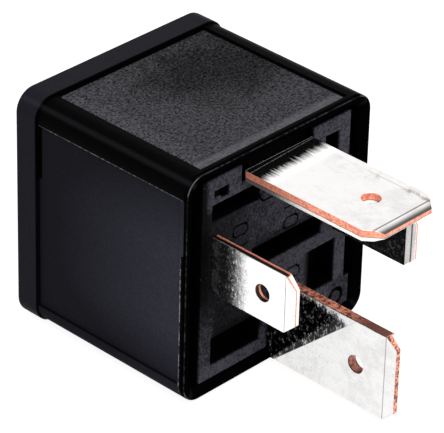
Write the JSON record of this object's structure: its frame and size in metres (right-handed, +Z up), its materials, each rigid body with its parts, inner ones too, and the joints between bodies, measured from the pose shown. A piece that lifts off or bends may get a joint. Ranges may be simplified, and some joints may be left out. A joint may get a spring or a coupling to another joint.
{
  "type": "plug-in power relay",
  "caption": "Square black plug-in power relay lying on one side, with flat blade terminals at its open end and a sprung armature inside.",
  "frame": {"origin": "centre of the bounding box at its lowest level, under the relay as it lies on one side", "axes": "+Z up as it lies, +Y towards the closed end of the cover, -Y along the blade terminals, +X to the right seen from the terminals"},
  "size_m": [0.0264, 0.0404, 0.0263],
  "materials": {
    "cover_plastic": "satin",
    "base_plastic": "matt",
    "bobbin_plastic": "satin",
    "tinned_copper": "bright tin plate",
    "coil_wire": "enamelled",
    "coil_tape": "satin",
    "iron": "plated",
    "spring_bronze": "bright",
    "contact_silver": "bright",
    "resistor_lacquer": "gloss"
  },
  "bodies": {
    "housing": {"cover": "cover_plastic", "base": "base_plastic", "terminal_load_top": "tinned_copper", "terminal_load_bottom": "tinned_copper", "terminal_coil_left": "tinned_copper", "terminal_coil_right": "tinned_copper", "bobbin": "bobbin_plastic", "coil_winding": "coil_wire", "coil_tape": "coil_tape", "core": "iron", "yoke": "iron", "return_leaf": "spring_bronze", "yoke_rivet_front": "iron", "yoke_rivet_rear": "iron", "fixed_contact": "contact_silver", "resistor_body": "resistor_lacquer", "resistor_lead_left": "tinned_copper", "resistor_lead_right": "tinned_copper", "coil_wire_left": "coil_wire", "coil_wire_right": "coil_wire"},
    "armature_group": {"armature": "iron", "contact_spring": "spring_bronze", "moving_contact": "contact_silver", "armature_rivet_low": "iron", "armature_rivet_high": "iron"}
  },
  "joints": [
    {"name": "armature_hinge", "type": "hinge", "parent": "housing", "child": "armature_group", "pos_m": [0, 0.01457, 0.00345], "axis": [1, 0, 0], "range_deg": [0, 3.1], "stiffness_Nm_per_rad": 0.05, "springref_deg": -6.88}
  ]
}
